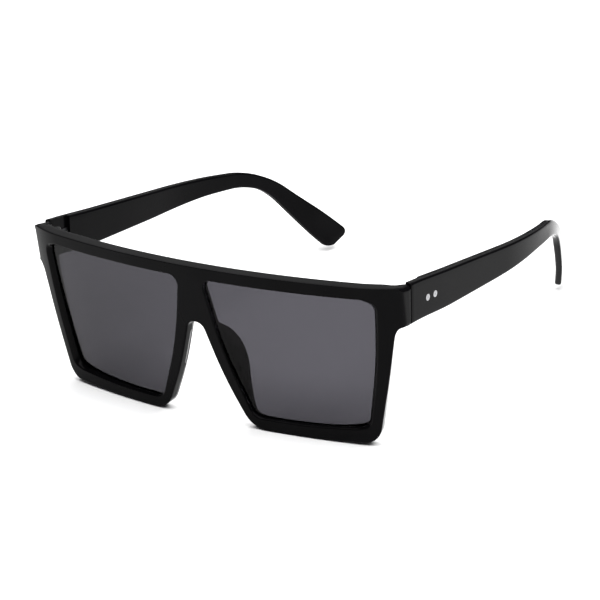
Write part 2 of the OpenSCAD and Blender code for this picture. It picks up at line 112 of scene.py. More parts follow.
class Path:
    """A smooth outline in the face, measured along its length."""

    def __init__(self, corners, start=None, end=None):
        n = len(corners)
        before = [corners[i - 1] for i in range(n)]
        after = [corners[(i + 1) % n] for i in range(n)]
        if start is not None:
            before[0] = (-corners[0][0], corners[0][1])
            after[-1] = (-corners[-1][0], corners[-1][1])
        arcs = [corner(before[i], corners[i], after[i], corners[i][2]) for i in range(n)]
        points = [start] if start is not None else []
        middles = []
        for arc in arcs:
            middles.append(len(points) + len(arc) // 2)
            points += arc
        points.append(end if end is not None else points[0])
        self.p = np.array(points, float)
        self.s = np.concatenate([[0], np.cumsum(np.linalg.norm(np.diff(self.p, axis=0), axis=1))])
        self.length = self.s[-1]
        self.mid = [self.s[k] for k in middles]
        self.closed = start is None

    def at(self, s):
        """Points of the outline at the lengths s."""
        s = np.mod(s, self.length) if self.closed else np.clip(s, 0, self.length)
        return np.stack([np.interp(s, self.s, self.p[:, 0]), np.interp(s, self.s, self.p[:, 1])], -1)

    def outward(self, s, h=0.12):
        """Which way is out of the outline at the lengths s, from the points h before and after."""
        d = self.at(s + h) - self.at(s - h)
        d /= np.linalg.norm(d, axis=1)[:, None]
        return np.stack([d[:, 1], -d[:, 0]], -1)

    def find(self, v, way):
        """Length at which the outline passes height v on its nose side or on its outer side."""
        s = np.linspace(0, self.length, 12001)
        p = self.at(s)
        wrong_side = (p[:, 0] - split_x) * way < 0
        return float(s[np.argmin(np.where(wrong_side, np.inf, np.abs(p[:, 1] - v)))])


def smooth(x, lo, hi):
    """0 below lo, 1 above hi, and a soft step between."""
    t = np.clip((x - lo) / (hi - lo), 0, 1)
    return t * t * (3 - 2 * t)


sweep_a = math.asin(sweep_x / wrap_r)
sweep_c = ((wrap_r - sweep_r) * math.sin(sweep_a), wrap_r - (wrap_r - sweep_r) * math.cos(sweep_a))
lean_y = front_h * math.sin(tilt)
level_v = 30.0  # from here up to end_v the rise with depth fades out: the end pieces run back level


def turn_at(x, swept=True):
    """How far the face has turned back at x; a lens keeps to the wrap and isn't swept."""
    main = np.arcsin(np.clip(x / wrap_r, -1, 1))
    ends = np.arcsin(np.clip((x - sweep_c[0]) / sweep_r, -1, 1))
    return np.where((x > sweep_x) & swept, ends, main)


def depth_at(x, swept=True):
    """How far the face has gone back at x."""
    main = wrap_r - np.sqrt(wrap_r ** 2 - x ** 2)
    ends = sweep_c[1] - np.sqrt(np.maximum(sweep_r ** 2 - (x - sweep_c[0]) ** 2, 1))
    return np.where((x > sweep_x) & swept, ends, main)


def stand(x, d, v):
    """Point at x, depth d and height v on the leaning face, in the shared frame, in millimetres."""
    level = smooth(v, level_v, end_v)
    y = d * math.cos(tilt) - v * math.sin(tilt) + lean_y - middle_y
    z = v * math.cos(tilt) + d * math.sin(tilt) * (1 - level) - rest_cut
    return np.stack([x, y, np.maximum(z, 0.0)], -1)


def on_face(xv, q, swept=True):
    """Point at depth q square to the wrapped face."""
    x, v = xv[..., 0], xv[..., 1]
    a = turn_at(x, swept)
    return stand(x - q * np.sin(a), depth_at(x, swept) + q * np.cos(a), v)


def conic(a, c, b, n):
    """n + 1 rings of a round edge from a to b, with its sharp corner at c."""
    u, v = c - a, b - c
    cos_turn = (u * v).sum(-1) / np.maximum(np.linalg.norm(u, axis=-1) * np.linalg.norm(v, axis=-1), 1e-9)
    w = np.sqrt(np.clip((1 + cos_turn) / 2, 0.05, 1))[..., None]
    rings = []
    for t in np.linspace(0, 1, n + 1):
        k = [(1 - t) ** 2, 2 * t * (1 - t) * w, t ** 2]
        rings.append((k[0] * a + k[1] * c + k[2] * b) / (k[0] + k[1] + k[2]))
    return rings


def line(a, b, n, ends=False):
    """Rings between a and b, with both ends where asked."""
    steps = np.linspace(0, 1, n + 2)
    return [a + (b - a) * t for t in (steps if ends else steps[1:-1])]


opening = Path(opening_path)
outer = Path(half_path, start=(0.0, arch_v), end=(0.0, front_h))
nose_top_at, nose_low_at, end_low_at, end_top_at = (opening.mid[k] for k in (0, 2, 4, 6))
arch_at, nose_foot_at, end_foot_at = (outer.mid[k] for k in (0, 2, 4))
notch_low_at, notch_high_at, block_low_at, block_top_at = (outer.mid[k] for k in (6, 7, 8, 9))

# Places that face each other across the rim: (along the opening, along the outline, lines up to the next).
# The lines stand closer together near these places.
bridge_at = opening.find(37.5, nose_way)
knots = [
    (bridge_at, 0.0, 10),
    (opening.find(33.2, nose_way), arch_at, 62),
    (nose_low_at, nose_foot_at, 74),
    (end_low_at, end_foot_at, 62),
    (opening.find(37.4, end_way), notch_low_at, 10),
    (opening.find(39.6, end_way), notch_high_at, 10),
    (opening.find(41.8, end_way), block_low_at, 26),
    (end_top_at, block_top_at, 96),
    (opening.length + nose_top_at, outer.length, 30),
    (opening.length + bridge_at, None, 0),
]
along_open, along_out = [], []
for (s0, o0, n), (s1, o1, _) in zip(knots, knots[1:]):
    t = np.linspace(0, 1, n + 1)[:-1]
    t = 0.5 * t + 0.5 * (0.5 - 0.5 * np.cos(np.pi * t))
    along_open.append(s0 + (s1 - s0) * t)
    if o1 is not None:
        along_out.append(o0 + (o1 - o0) * t)
along_open = np.concatenate(along_open)
along_out = np.concatenate(along_out + [[outer.length]])
n_all, n_out = len(along_open), len(along_out)

inner, into_rim = opening.at(along_open), opening.outward(along_open)
outline, outward = outer.at(along_out), outer.outward(along_out)
outward[0], outward[-1] = (0, -1), (0, 1)


def facing(direction, lo=0.35, hi=0.95):
    """How much of each line across the rim points the asked way, from 0 to 1."""
    return smooth(direction, lo, hi)[:, None]


outer_side, lower_side, nose_side = facing(into_rim[:, 0]), facing(-into_rim[:, 1]), facing(-into_rim[:, 0])
top_side = facing(outward[:, 1], 0.3)
recess_nose, recess_more, recess_x, recess_run = 1.0, 1.05, 8.0, 52.0


def recess_at(x):
    """How far the front of a lens lies behind the face: it sits deeper toward the end piece."""
    return recess_nose + recess_more * np.clip((x - recess_x) / recess_run, 0, 1)


# Every rim edge is broken; on the outer side of a lens the face rolls over in a wide soft curve.
# The lip's width and depth are given all round, then what the outer and the lower side add.
lens_t, lens_fit, groove_d = 1.7, 0.05, 0.9
lip_over, back_soft, back_share, land = 0.05, 0.45, 0.8, 0.3
lip_w, outer_w, lower_w = 0.35, 1.15, 0.25
lip_d, outer_d, lower_d, outer_roll = 0.4, 1.1, 0.45, 0.55
lip_start = lip_w + outer_w * outer_side + lower_w * lower_side
lip_depth = (lip_d + outer_d * outer_side + lower_d * lower_side)[:, 0]
lens_front = recess_at(inner[:, 0]) - lens_fit
lens_back = recess_at(inner[:, 0]) + lens_t + lens_fit
lip_from = inner + into_rim * lip_start
lip_to = inner - into_rim * lip_over
lip_turn = lip_from + (lip_to - lip_from) * (1 - outer_roll * outer_side)

# The rear lip stands back from the lens where the rim is seen into, and fills the two corners at the end
outer_back, lower_back, nose_back = 0.6, 0.7, 0.65
gusset_fill, gusset_l, corner_fill, corner_l = 1.9, 4.5, 1.0, 6.0
gusset = np.exp(-((along_open - end_top_at) / gusset_l) ** 2)[:, None]
low_corner = np.exp(-((along_open - end_low_at) / corner_l) ** 2)[:, None]
stand_back = outer_back * outer_side + lower_back * lower_side + nose_back * nose_side \
    - gusset_fill * gusset - corner_fill * low_corner
back_to = lip_to + into_rim * stand_back
back_from = back_to + into_rim * back_soft

# The outer edge is broken less along the top, and rounded more where an end piece turns the corner
edge_r, top_less, end_more, end_x = 0.55, 0.37, 0.9, (70.0, 71.3)
back_edge_r, back_top_less = 0.5, 0.34
edge = edge_r - top_less * top_side \
    + end_more * facing(outward[:, 0], 0.6, 1.0) * facing(outline[:, 0], *end_x)
back_edge = back_edge_r - back_top_less * top_side


def across_bridge(rim_line):
    """Adds the points that close a line down the middle of the bridge."""
    n = n_all - n_out
    v = rim_line[-1, 1] + (rim_line[0, 1] - rim_line[-1, 1]) * (np.arange(1, n + 1) / (n + 1))
    return np.concatenate([rim_line, np.stack([0 * v, v], -1)])


# Rings across: the rolled lip, the face, an outer edge, the wall, a small round, and the bar's back
roll_n, face_n, edge_n, wall_n, small_n, bar_n = 9, 8, 6, 3, 4, 14
face_line = across_bridge(outline - outward * (edge + land))
back_line = across_bridge(outline - outward * (back_edge + land))
groove_line = inner + into_rim * groove_d
grid_front = [on_face(groove_line, lens_front, False), on_face(lip_to, lens_front, False)]
grid_front += conic(on_face(lip_from, 0), on_face(lip_turn, 0), on_face(lip_to, lip_depth), roll_n)[::-1]
grid_front += [on_face(p, 0) for p in line(lip_from + into_rim * land, face_line, face_n, True)]

# Outer edge and wall; behind the end pieces the wall runs straight back to the seam
seam_y, seam_z, seam_gap, slope = 16.1, 47.0, 0.15, math.radians(5.93291)
inner_wall_x, least_wall, root_r, root_rise = 68.3, 0.9, 0.4, 0.35
block_x, block_from, block_to = (68.5, 69.8), 1.0, 0.8  # where the wall turns back, above and below
seam_edge, seam_share, back_lines = 0.3, 0.2, 24


def seam_depth(z):
    """Depth of the end piece's seam face at height z: it slopes as the arm's butt does."""
    return seam_y - seam_gap + (z + rest_cut - seam_z) * math.tan(slope) - middle_y


block_low = smooth(along_out, notch_low_at + block_from, notch_high_at + block_to)
block = np.where(outline[:, 1] > seam_z, smooth(outline[:, 0], *block_x), block_low)[:, None]
corner_front = on_face(outline, 0)
wall_flat = on_face(outline, front_t)
z_end = stand(outline[:, 0], depth_at(outline[:, 0]), outline[:, 1])[:, 2]
seam_at = seam_depth(z_end)
wall_block = np.stack([outline[:, 0], seam_at, z_end], -1)
wall_end = wall_flat + (wall_block - wall_flat) * block
wall_way = wall_end - corner_front
wall_way /= np.linalg.norm(wall_way, axis=1)[:, None]
edge_from = on_face(outline - outward * edge, 0)
edge_to = corner_front + wall_way * edge
heel_from = wall_end - wall_way * back_edge
flat_in = on_face(outline - outward * back_edge, front_t)
towards = back_from[:n_out] - outline
towards /= np.linalg.norm(towards, axis=1)[:, None]
block_in = np.stack([outline[:, 0] - back_edge[:, 0], seam_at, z_end + towards[:, 1] * seam_edge], -1)
heel_to = flat_in + (block_in - flat_in) * block
walls = conic(edge_from, corner_front, edge_to, edge_n) + line(edge_to, heel_from, wall_n)
fillet = conic(heel_from, wall_end, heel_to, small_n)


def resample(rings, n):
    """The same line through a list of rings, cut again into n evenly long steps."""
    p = np.stack(rings)
    steps = np.cumsum(np.linalg.norm(np.diff(p, axis=0), axis=2), axis=0)
    s = np.concatenate([np.zeros((1, p.shape[1])), steps])
    made = np.empty((n + 1,) + p.shape[1:])
    for i in range(p.shape[1]):
        for k in range(3):
            made[:, i, k] = np.interp(np.linspace(0, s[-1, i], n + 1), s[:, i], p[:, i, k])
    return list(made)


span = outline[:, 0] - back_from[:n_out, 0]


def back_curve(x):
    """Points of the bar's back at x, for the lines that reach the end piece."""
    x0 = x  # closes in on the place of the face whose back lies at x
    for _ in range(12):
        x0 = x + front_t * np.sin(turn_at(x0))
    share = (outline[:, 0] - x) / np.maximum(span, 0.5)
    v = outline[:, 1] + (back_from[:n_out, 1] - outline[:, 1]) * np.clip(share, 0, 1)
    return stand(x, depth_at(x0) + front_t * np.cos(turn_at(x0)), v)


# The way inward over the back of an end piece: the seam face, its inner wall, the root, and the bar
wall_x = np.minimum(inner_wall_x, outline[:, 0] - least_wall)
seam_in = back_curve(wall_x)
seam_in[:, 1] = seam_depth(seam_in[:, 2])
seam_1 = seam_in + (block_in - seam_in) * seam_share
seam_2 = seam_in - np.array([0, root_r, 0])
root = back_curve(wall_x)
root_1 = root + np.array([0, root_rise, 0])
root_2 = back_curve(wall_x - root_r)
last = on_face(back_from[:n_out], front_t)
bar_x = [wall_x - root_r + (last[:, 0] - wall_x + root_r) * t for t in np.linspace(0, 1, bar_n)]
block_path = line(block_in, seam_1, wall_n, True) + conic(seam_1, seam_in, seam_2, small_n)[1:] + [root_1] \
    + conic(root_1, root, root_2, small_n)[1:] + [back_curve(x) for x in bar_x[1:-1]] + [last]
block_path = resample(block_path, back_lines + 1)
flat_path = [on_face(p, front_t)
             for p in line(outline - outward * back_edge, back_from[:n_out], back_lines, True)]
back_path = fillet[:-1] + [f + (b - f) * block for f, b in zip(flat_path, block_path)]

# Nose pads: a fin with a round ridge that flares away from the nose behind each rim.
# Its section is (away from the nose, back from the face); its size changes with the height.
pad_section = np.array([
    (0.0, 0.9), (0.11, 2.2), (0.45, 3.6), (1.03, 5.0), (1.92, 6.5), (3.0, 7.75), (4.1, 8.55),
    (5.1, 8.78), (5.8, 8.35), (5.97, 7.4), (5.7, 6.1), (5.2, 4.9)])
pad_growth = np.array([
    (2.0, 0.14), (5.0, 0.4), (7.5, 0.54), (10.0, 0.66), (14.3, 0.88), (18.7, 1.03), (24.0, 1.13),
    (27.0, 1.14), (29.5, 1.08), (31.2, 0.96), (32.8, 0.76), (33.9, 0.4), (34.7, 0.0)])
past_foot, growth_passes, section_passes = 3, 6, 3


def even_out(row, times):
    """Each value of a row drawn toward its neighbours, its ends kept."""
    for _ in range(times):
        row[1:-1] = (row[:-2] + 2 * row[1:-1] + row[2:]) / 4
    return row


pad_size = np.interp(outline[:, 1], pad_growth[:, 0], pad_growth[:, 1])
pad_size = np.where(along_out < nose_foot_at + past_foot, pad_size, 0.0)
pad_size = even_out(pad_size, growth_passes)[:, None]
pad_s = np.concatenate([[0], np.cumsum(np.linalg.norm(np.diff(pad_section, axis=0), axis=1))])
fine_s = np.linspace(0, pad_s[-1], len(back_path) - 3)
pad_away, pad_back = (even_out(np.interp(fine_s, pad_s, pad_section[:, k]), section_passes) for k in (0, 1))
pad_rings = [heel_from] + [on_face(outline + towards * a, q) for a, q in zip(pad_away, pad_back)]
pad_rings += line(pad_rings[-1], last, 1) + [last]
pad_rings[1] = (pad_rings[1] + heel_from) / 2
back_path = [f + (p - f) * pad_size for f, p in zip(back_path, pad_rings)]
back_path[-1] = last

wall_lines = small_n + 1
grid_wall = walls + back_path[:wall_lines]
bridge_lines = line(back_line, back_from, len(back_path) - wall_lines - 2, True)
grid_back = [np.concatenate([f, on_face(b, front_t)[n_out:]])
             for f, b in zip(back_path[wall_lines:], bridge_lines)]
grid_back += conic(on_face(back_from, front_t), on_face(back_to, front_t),
                   on_face(back_to, front_t - back_soft * back_share), small_n)[1:]
grid_back += [on_face(back_to, lens_back, False), on_face(groove_line, lens_back, False)]


def mesh_object(name, points, faces, material, smooth_angle=None):
    """Object from points in millimetres; faces that repeat a point are dropped."""
    mesh = bpy.data.meshes.new(name)
    good = [f for f in (tuple(dict.fromkeys(f)) for f in faces) if len(f) > 2]
    mesh.from_pydata((np.asarray(points) * MM).tolist(), [], good)
    mesh.materials.append(material)
    mesh.shade_smooth()
    if smooth_angle is not None:
        mesh.set_sharp_from_angle(angle=math.radians(smooth_angle))
    piece = bpy.data.objects.new(name, mesh)
    bpy.context.scene.collection.objects.link(piece)
    return piece


def close_up(piece, weld=None, gap=0.0):
    """Welds the chosen points where they meet, and turns every face outward."""
    work = bmesh.new()
    work.from_mesh(piece.data)
    if weld is not None:
        bmesh.ops.remove_doubles(work, verts=[v for v in work.verts if weld(v.co)], dist=gap)
    bmesh.ops.recalc_face_normals(work, faces=work.faces)
    work.to_mesh(piece.data)
    work.free()


def quads(rings, closed):
    """Quads between neighbouring rings, given as arrays of point numbers."""
    made = []
    for a, b in zip(rings, rings[1:]):
        for i in range(len(a) if closed else len(a) - 1):
            j = (i + 1) % len(a)
            made.append((a[i], b[i], b[j], a[j]))
    return made


points = np.concatenate([np.stack(grid).reshape(-1, 3) for grid in (grid_front, grid_wall, grid_back)])
front_ids = np.arange(len(grid_front) * n_all).reshape(-1, n_all)
wall_ids = front_ids.size + np.arange(len(grid_wall) * n_out).reshape(-1, n_out)
back_ids = front_ids.size + wall_ids.size + np.arange(len(grid_back) * n_all).reshape(-1, n_all)
faces = quads(list(front_ids), True) + quads(list(back_ids), True) + quads([back_ids[-1], front_ids[0]], True)
faces += quads([front_ids[-1, :n_out]] + list(wall_ids) + [back_ids[0, :n_out]], False)

# Toward the seam each end piece falls a little on top and swells below, to meet the arm: how much, and
# the depths, heights and widths over which it comes in (the swell goes out again over swell_top)
fall, fall_y, fall_z, fall_x = 0.75, (-65.2, -60.4), (50.5, 53.0), (63.0, 67.5)
swell, swell_y, swell_z, swell_x = 0.7, (-66.0, -60.2), (37.0, 39.5), (69.0, 71.0)
swell_top = (41.5, 45.0)
x, y, z = np.abs(points[:, 0]), points[:, 1], points[:, 2]  # z is a view: the points move with it
z -= fall * smooth(y, *fall_y) * smooth(z, *fall_z) * smooth(x, *fall_x)
z -= swell * smooth(y, *swell_y) * (1 - smooth(z, *swell_top)) * smooth(x, *swell_x) * smooth(z, *swell_z)
faces += [tuple(i + len(points) for i in reversed(f)) for f in faces]
points = np.concatenate([points, points * np.array([-1, 1, 1])])


def new_material(name):
    """A material with its node tree and its shader."""
    material = bpy.data.materials.new(name)
    material.use_nodes = True
    return material, material.node_tree, material.node_tree.nodes["Principled BSDF"]


def node(tree, kind, x, y, **inputs):
    """A node at a place in the tree, with its input values."""
    made = tree.nodes.new(kind)
    made.location = (x, y)
    for key, value in inputs.items():
        made.inputs[key.replace("_", " ")].default_value = value
    return made


def two_tones(tree, x, y, dark, light, low=0.0, high=1.0):
    """A ramp from a dark tone to a light one."""
    ramp = node(tree, "ShaderNodeValToRGB", x, y)
    for stop, tone, place in zip(ramp.color_ramp.elements, (dark, light), (low, high)):
        stop.color, stop.position = (*tone, 1), place
    return ramp


def wire(tree, *runs):
    """Joins nodes; a run is a node, its output, the node that it feeds and the input there."""
    for source, outlet, target, inlet in runs:
        tree.links.new(source.outputs[outlet], target.inputs[inlet])


def moulded_black(name, seed, rough_lo, rough_hi):
    """Black gloss moulding: a faint orange-peel skin, fine hairlines and smudges that change its gloss."""
    material, tree, shader = new_material(name)
    shader.inputs["IOR"].default_value = 1.11
    shader.inputs["Coat Roughness"].default_value = 0.1
    place = node(tree, "ShaderNodeTexCoord", -1300, 0)
    shift = node(tree, "ShaderNodeMapping", -1100, 0, Location=(seed, seed * 0.37, -seed * 0.61))
    tone = node(tree, "ShaderNodeTexNoise", -880, 260, Scale=38.0, Detail=3.0)
    ramp = two_tones(tree, -640, 260, (0.0012, 0.0012, 0.0014), (0.0028, 0.0027, 0.0031), 0.3, 0.72)
    smudge = node(tree, "ShaderNodeTexNoise", -880, 0, Scale=70.0, Detail=5.0, Roughness=0.62)
    gloss = node(tree, "ShaderNodeMapRange", -640, 0,
                 From_Min=0.35, From_Max=0.7, To_Min=rough_lo, To_Max=rough_hi)
    peel = node(tree, "ShaderNodeTexNoise", -880, -260, Scale=950.0, Detail=2.0)
    hair = node(tree, "ShaderNodeTexNoise", -880, -500, Scale=260.0, Detail=6.0, Roughness=0.7)
    both = node(tree, "ShaderNodeMath", -640, -360)
    both.operation = "ADD"
    bump = node(tree, "ShaderNodeBump", -400, -360, Strength=0.05, Distance=0.00012)
    graze = node(tree, "ShaderNodeLayerWeight", -640, 520, Blend=0.5)
    skin = node(tree, "ShaderNodeMapRange", -400, 520, From_Min=0.74, From_Max=0.93)
    wire(tree, (place, "Object", shift, "Vector"),
         *((shift, "Vector", noise, "Vector") for noise in (tone, smudge, peel, hair)),
         (tone, "Fac", ramp, "Fac"), (ramp, "Color", shader, "Base Color"),
         (smudge, "Fac", gloss, "Value"), (gloss, "Result", shader, "Roughness"),
         (peel, "Fac", both, 0), (hair, "Fac", both, 1),
         (both, "Value", bump, "Height"), (bump, "Normal", shader, "Normal"),
         (graze, "Facing", skin, "Value"), (skin, "Result", shader, "Coat Weight"))
    return material


front_black = moulded_black("front_moulded_black", 0.0, 0.16, 0.26)
front = mesh_object("moulded_front", points, faces, front_black)
close_up(front, lambda co: abs(co.x) < 1e-6, gap=2e-6)
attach(front, "front")
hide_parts("front_frame")

# The lenses
# Two smoke-grey polycarbonate sheets, 1.7 mm thick, bent to the wrap of the front and snapped into its
# grooves, deeper toward the end pieces. The tint is painted lighter toward the top and darker toward the
# bottom, as painted light and shade.
into_groove = 0.84
n_u, n_v = 64, 48


def smoke(name):
    """Smoke tint with painted shade: lighter with height and darker toward the bottom; it also darkens where
    it is seen more on the slant.
    """
    material, tree, shader = new_material(name)
    shader.inputs["IOR"].default_value = 1.15
    shader.inputs["Transmission Weight"].default_value = 1.0
    place = node(tree, "ShaderNodeTexCoord", -1100, 0)
    parts = node(tree, "ShaderNodeSeparateXYZ", -900, 200)
    # Painted light and shade: the tint is made lighter with height and darker toward the bottom
    painted_shade_by_height = node(tree, "ShaderNodeMapRange", -700, 200,
                From_Min=0.004, From_Max=0.022, To_Min=0.66, To_Max=1.0)
    angle = node(tree, "ShaderNodeLayerWeight", -900, 420, Blend=0.5)
    slant = node(tree, "ShaderNodeMapRange", -700, 420,
                 From_Min=0.2, From_Max=0.45, To_Min=1.0, To_Max=0.0)
    # The painted shade by height, together with the darkening on the slant, sets the tint
    clear = node(tree, "ShaderNodeMath", -580, 320)
    clear.operation = "MULTIPLY"
    tint = two_tones(tree, -420, 200, (0.0255, 0.0245, 0.0282), (0.058, 0.0562, 0.065))
    film = node(tree, "ShaderNodeTexNoise", -700, -100, Scale=45.0, Detail=4.0)
    gloss = node(tree, "ShaderNodeMapRange", -480, -100, To_Min=0.01, To_Max=0.04)
    wire(tree,
         (place, "Object", parts, "Vector"), (parts, "Z", painted_shade_by_height, "Value"),
         (angle, "Facing", slant, "Value"),
         (painted_shade_by_height, "Result", clear, 0), (slant, "Result", clear, 1),
         (clear, "Value", tint, "Fac"), (tint, "Color", shader, "Base Color"),
         (place, "Object", film, "Vector"), (film, "Fac", gloss, "Value"),
         (gloss, "Result", shader, "Roughness"))
    return material


def lens_side(start, end, n):
    """Points along one side of a lens, which reaches into the groove."""
    s = np.linspace(start, end, n + 1)
    return opening.at(s) + opening.outward(s, h=0.4) * into_groove


nose = lens_side(nose_top_at, nose_low_at, n_v)
low = lens_side(nose_low_at, end_low_at, n_u)
far = lens_side(end_low_at, end_top_at, n_v)[::-1]
high = lens_side(end_top_at, opening.length + nose_top_at, n_u)[::-1]
u, v = np.linspace(0, 1, n_u + 1), np.linspace(0, 1, n_v + 1)
patch = np.empty((n_v + 1, n_u + 1, 2))
for j in range(n_v + 1):
    for i in range(n_u + 1):
        across = (1 - u[i]) * nose[j] + u[i] * far[j]
        updown = (1 - v[j]) * high[i] + v[j] * low[i]
        near_end, far_end = ((1 - v[j]) * high[k] + v[j] * low[k] for k in (0, -1))
        patch[j, i] = across + updown - ((1 - u[i]) * near_end + u[i] * far_end)
sunk = recess_at(patch[..., 0])
lens_face = on_face(patch, sunk, False).reshape(-1, 3)
lens_rear = on_face(patch, sunk + lens_t, False).reshape(-1, 3)
ids = np.arange(len(lens_face)).reshape(n_v + 1, n_u + 1)
rim_ids = list(ids[0, :]) + list(ids[1:, -1]) + list(ids[-1, -2::-1]) + list(ids[-2:0:-1, 0])
lens_faces = []
for j in range(n_v):
    for i in range(n_u):
        q = (ids[j, i], ids[j, i + 1], ids[j + 1, i + 1], ids[j + 1, i])
        lens_faces += [q, tuple(k + len(lens_face) for k in reversed(q))]
for a, b in zip(rim_ids, rim_ids[1:] + rim_ids[:1]):
    lens_faces.append((b, a, a + len(lens_face), b + len(lens_face)))
smoke_grey = smoke("smoke_grey_lens")
for side, name in ((1, "left"), (-1, "right")):
    sheet = np.concatenate([lens_face, lens_rear]) * np.array([side, 1, 1])
    turned = lens_faces if side > 0 else [tuple(reversed(f)) for f in lens_faces]
    lens = mesh_object(f"{name}_tinted_lens", sheet, turned, smoke_grey, smooth_angle=40)
    close_up(lens)
    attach(lens, "front")
    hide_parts(f"{name}_lens")

# The temples
# Two black injection-moulded arms that fold on the hinges, deep at the butt and slimmer toward the ear, where
# they bend down, lean inward and twist to blunt tips. A pocket inside the butt leaves room for the hinge.
temple_t, tip_t, temple_h, ear_h, tip_h = 3.5, 2.7, 13.0, 4.6, 10.0
arm_l, ear_r, ear_angle, tip_l = 93.4, 31.0, math.radians(44.5), 29.99  # straight run, bend, drop
bow_start, bow_l, arm_toe, tip_lean = 57.5, 80.0, math.radians(0.6), math.radians(29.5)
tongue_l, taper_k = 16.5, 1.12
pocket_l, pocket_d, butt = 8.4, 1.3, 0.2
long_edge, most_round, tip_round, tip_side = 0.9, 0.92, 3.0, 0.36
# How the drop is cut askew and twisted, and where the arm's line sags: (comes in over), (goes out over)
tip_skew, skew_l, tip_twist, twist_l = 0.28, 16.0, 0.24, 12.0
sag, sag_in, sag_out = 0.5, (4.0, 24.0), (50.0, 85.0)
ear_sag, ear_sag_in, ear_sag_out = 0.4, (78.0, 104.0), (112.0, 136.0)
round_n, narrow_n, deep_n = 8, 3, 9  # steps of a rounded edge, a narrow side and a deep side
bend_l = ear_r * ear_angle
temple_l = arm_l + bend_l + tip_l
ear_s = arm_l + bend_l / 2


def line_at(s):
    """Where the middle of the arm runs at a distance s: back, up, and its angle down."""
    if s < arm_l:
        return s, 0.0, 0.0
    if s < arm_l + bend_l:
        a = ear_angle * (s - arm_l) / bend_l
        return arm_l + ear_r * math.sin(a), -ear_r * (1 - math.cos(a)), a
    rest = s - arm_l - bend_l
    return (arm_l + ear_r * math.sin(ear_angle) + rest * math.cos(ear_angle),
            -ear_r * (1 - math.cos(ear_angle)) - rest * math.sin(ear_angle), ear_angle)


def bow(y):
    """How far the arm has come inward at y."""
    past = max(0.0, y - bow_start)
    t = min(past, bow_l)
    return y * math.tan(arm_toe) + (math.tan(tip_lean) - math.tan(arm_toe)) * (t * t / 2 / bow_l + past - t)


def half_depth(s):
    """Half the arm's height: it tapers to the bend and widens again to the tip."""
    if s < ear_s:
        return (ear_h + (temple_h - ear_h) * (1 - (s / ear_s) ** taper_k)) / 2
    t = (s - ear_s) / (temple_l - ear_s)
    return (ear_h + (tip_h - ear_h) * (1 - math.cos(math.pi * t)) / 2) / 2


def tip_cut(s, r):
    """How much the round of the tip takes off at s."""
    s0 = temple_l - tip_round
    return 0.0 if s < s0 else r - math.sqrt(max(0.0, r * r - ((s - s0) * r / tip_round) ** 2))


def dip_at(s):
    """How far the arm's middle sags at s: along the straight run, and again over the ear."""
    return float(sag * smooth(s, *sag_in) * (1 - smooth(s, *sag_out))
                 + ear_sag * smooth(s, *ear_sag_in) * (1 - smooth(s, *ear_sag_out)))


def temple_ring(s, shrink):
    """Rounded section of the arm at a distance s, drawn in by shrink at its butt."""
    y, z, a = line_at(s)
    z -= dip_at(s)
    skew = tip_skew * float(smooth(s, temple_l - skew_l, temple_l))
    twist = tip_twist * float(smooth(s, arm_l - twist_l, arm_l + bend_l))
    full_t = temple_t - (temple_t - tip_t) * max(0.0, s - tongue_l) / (temple_l - tongue_l)
    h = half_depth(s) + dip_at(s) / 2 - tip_cut(s, tip_round) - shrink
    t = full_t / 2 - tip_cut(s, tip_t * tip_side) - shrink
    r = min(long_edge, t * most_round, h * most_round)
    corners = ((1, 1), (-1, 1), (-1, -1), (1, -1))
    section = []
    for q, (sx, sz) in enumerate(corners):
        for i in range(round_n + 1):
            b = math.radians(q * 90 + i * 90 / round_n)
            section.append((sx * (t - r) + r * math.cos(b), sz * (h - r) + r * math.sin(b)))
        next_x, next_z = corners[(q + 1) % 4]
        b = math.radians(q * 90 + 90)
        start, end = section[-1], (next_x * (t - r) + r * math.cos(b), next_z * (h - r) + r * math.sin(b))
        steps = narrow_n if q in (0, 2) else deep_n
        section += [(start[0] + (end[0] - start[0]) * k / steps, start[1] + (end[1] - start[1]) * k / steps)
                    for k in range(1, steps)]
    ring = []
    for dx, dz in section:
        if s < pocket_l:
            dx = max(dx, pocket_d - t)
        ring.append((dx - twist * dz - full_t / 2 - bow(y),
                     y + dz * (math.sin(a) + skew * math.cos(a)),
                     z + dz * (math.cos(a) - skew * math.sin(a))))
    return ring


# Sections along the arm: (distance, how much it is drawn in), closer at the butt, the pocket and the tip
straight_n, bend_n, drop_n, tip_n = 58, 34, 26, 14
stations = [(butt * k, butt * drawn)
            for k, drawn in ((0.0, 1.0), (0.08, 0.62), (0.3, 0.29), (0.62, 0.08), (1.0, 0.0))]
stations += [(s, 0.0) for s in (1.6, 3.2, 4.8, 6.4, 7.6, pocket_l - 0.04, pocket_l, pocket_l + 0.3)]
stations += [(s, 0.0) for s in np.linspace(pocket_l + 1.4, arm_l, straight_n)]
stations += [(s, 0.0) for s in np.linspace(arm_l, arm_l + bend_l, bend_n)[1:]]
stations += [(s, 0.0) for s in np.linspace(arm_l + bend_l, temple_l - tip_round, drop_n)[1:]]
stations += [(temple_l - tip_round + tip_round * math.sin(math.pi / 2 * k / tip_n), 0.0)
             for k in range(1, tip_n)]
rings = np.array([temple_ring(s, k) for s, k in stations])
arm_x, arm_y, arm_z = rings.reshape(-1, 3).T
down, level = math.sin(-slope), math.cos(-slope)
arm_points = np.stack([arm_x + front_w / 2,
                       arm_y * level - arm_z * down + seam_y - middle_y,
                       arm_y * down + arm_z * level + seam_z - rest_cut], -1)
arm_ids = np.arange(len(arm_points)).reshape(len(rings), -1)
arm_faces = quads(list(arm_ids), True)
arm_faces += [tuple(int(k) for k in reversed(arm_ids[0])), tuple(int(k) for k in arm_ids[-1])]
arm_black = moulded_black("temple_moulded_black", 0.73, 0.15, 0.25)
